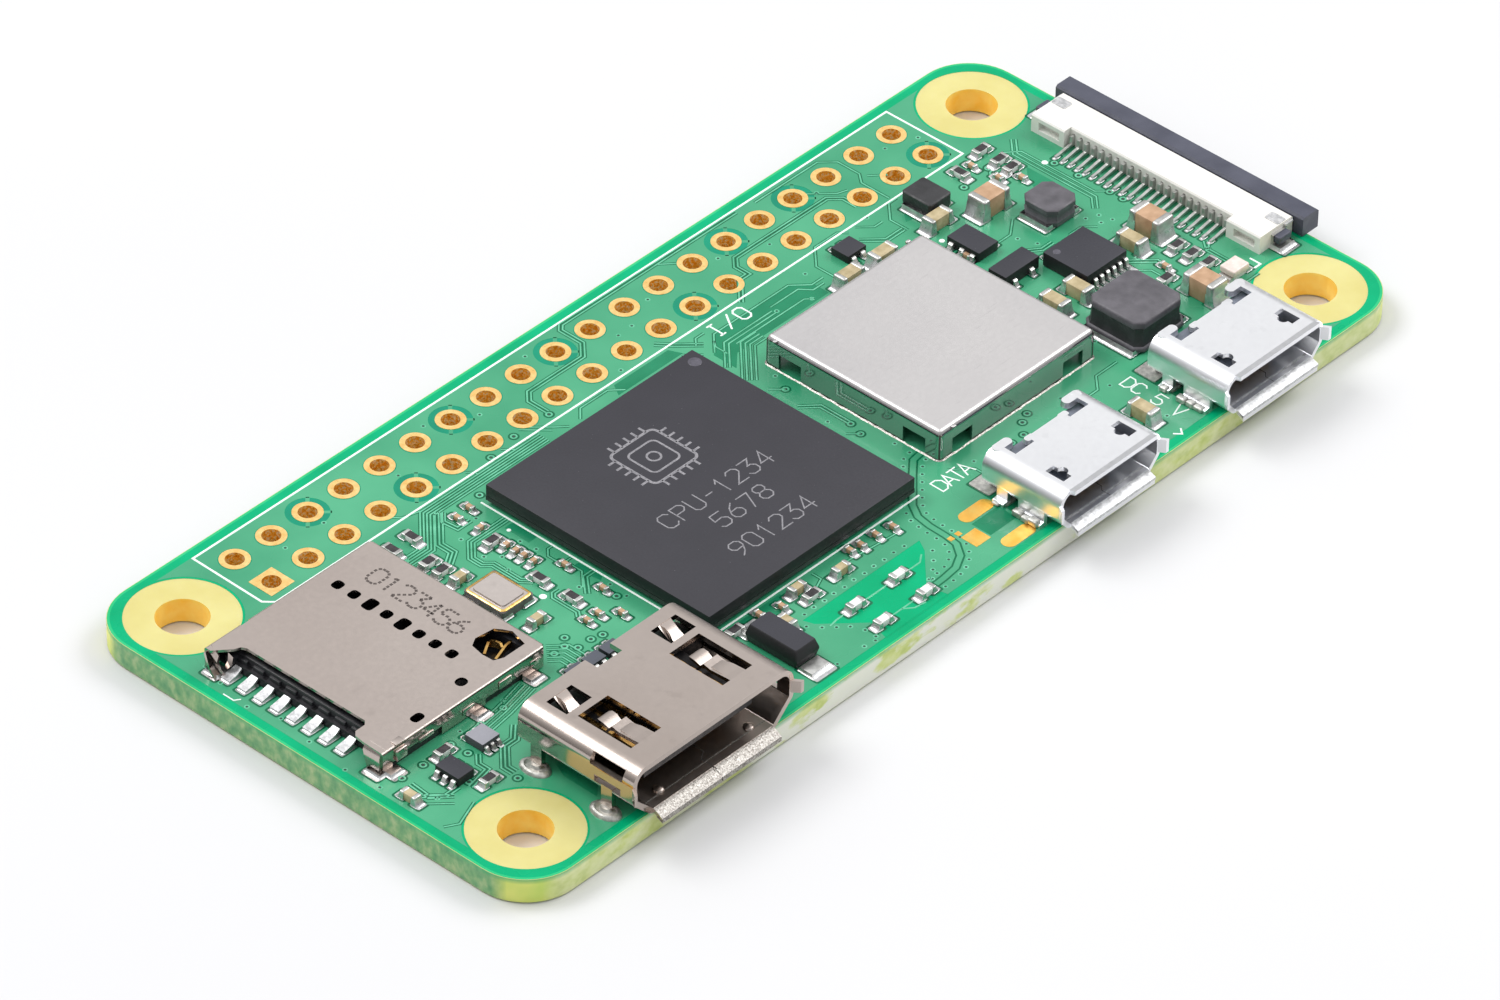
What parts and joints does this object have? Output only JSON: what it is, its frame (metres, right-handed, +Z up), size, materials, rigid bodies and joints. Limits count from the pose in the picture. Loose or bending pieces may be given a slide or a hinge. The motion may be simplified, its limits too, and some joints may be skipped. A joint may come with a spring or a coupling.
{
  "type": "single board computer",
  "caption": "Small bare circuit-board computer with a square processor, shielded radio, memory card socket, video, data and power ports, ribbon connector and unfitted pin header.",
  "frame": {"origin": "centre of the mounting-hole pattern on the board's underside", "axes": "+Z up out of the component side; +X along the board's long side towards the ribbon connector; +Y towards the header holes, with the ports on the -Y edge"},
  "size_m": [0.0658, 0.0308, 0.0046],
  "materials": {
    "laminate": "green solder mask over glass-fibre laminate",
    "gilded_copper": "gold-flashed copper",
    "substrate": "green package substrate",
    "silicon": "polished silicon",
    "processor_mould": "fine matt moulding compound with laser marks",
    "black_mould": "matt moulding compound",
    "solder": "bright solder",
    "shield_steel": "satin tinned sheet with fine scratches",
    "socket_steel": "satin stainless sheet",
    "video_steel": "satin stainless sheet",
    "port_steel": "bright nickel-plated sheet",
    "spring_metal": "gold-flashed spring alloy",
    "tinned_metal": "tin-plated",
    "black_plastic": "moulded black insulator",
    "grey_plastic": "moulded dark grey insulator",
    "white_plastic": "moulded off-white housing",
    "slate_plastic": "moulded slate-grey latch",
    "ceramic_grey": "fired ceramic",
    "lid_metal": "plated lid",
    "quartz": "polished quartz",
    "ferrite": "sintered ferrite",
    "copper_wire": "enamelled copper",
    "resistor_film": "black glaze over white ceramic",
    "brown_ceramic": "fired capacitor ceramic",
    "tan_ceramic": "fired capacitor ceramic",
    "white_ceramic": "fired white ceramic",
    "lamp_epoxy": "milky epoxy lens"
  },
  "bodies": {
    "board": {"circuit_board": "laminate", "header_hole_plating": "gilded_copper", "gold_pads": "gilded_copper", "processor_substrate": "substrate", "processor_die": "silicon", "memory_die": "silicon", "processor_mould": "processor_mould", "processor_solder_balls": "solder", "shield_can": "shield_steel", "radio_chip": "black_mould", "radio_crystal": "lid_metal", "radio_capacitors": "tan_ceramic", "card_socket_shell": "socket_steel", "card_socket_contacts": "spring_metal", "card_socket_base": "black_plastic", "card_detect_spring": "spring_metal", "card_detect_contact": "spring_metal", "video_port_shell": "video_steel", "video_port_insulator": "black_plastic", "video_port_contacts": "spring_metal", "data_port_shell": "port_steel", "data_port_insulator": "grey_plastic", "data_port_contacts": "spring_metal", "power_port_shell": "port_steel", "power_port_insulator": "grey_plastic", "power_port_contacts": "spring_metal", "port_leg_solder": "solder", "ribbon_connector_housing": "white_plastic", "ribbon_connector_contacts": "tinned_metal", "ribbon_connector_anchors": "tinned_metal", "clock_crystal_base": "ceramic_grey", "clock_crystal_blank": "quartz", "clock_crystal_lid": "lid_metal", "power_chip_body": "black_mould", "power_chip_leads": "tinned_metal", "power_coil_core": "ferrite", "power_coil_winding": "copper_wire", "power_coil_terminals": "tinned_metal", "small_coil_bodies": "ferrite", "small_coil_terminals": "tinned_metal", "surge_diode_body": "black_mould", "surge_diode_tabs": "tinned_metal", "small_chip_bodies": "black_mould", "small_chip_leads": "tinned_metal", "resistor_bodies": "resistor_film", "resistor_end_caps": "tinned_metal", "small_capacitor_bodies": "tan_ceramic", "small_capacitor_end_caps": "tinned_metal", "medium_capacitor_bodies": "tan_ceramic", "medium_capacitor_end_caps": "tinned_metal", "large_capacitor_bodies": "brown_ceramic", "large_capacitor_end_caps": "tinned_metal", "tiny_capacitor_bodies": "brown_ceramic", "tiny_capacitor_end_caps": "tinned_metal", "antenna_capacitor_bodies": "white_ceramic", "antenna_capacitor_end_caps": "tinned_metal", "status_light_base": "white_plastic", "status_light_lens": "lamp_epoxy", "status_light_end_caps": "tinned_metal"},
    "ribbon_latch": {"ribbon_connector_latch": "slate_plastic"}
  },
  "joints": [
    {"name": "ribbon_latch_slide", "type": "slide", "parent": "board", "child": "ribbon_latch", "axis": [1, 0, 0], "range_m": [0, 0.0009]}
  ]
}
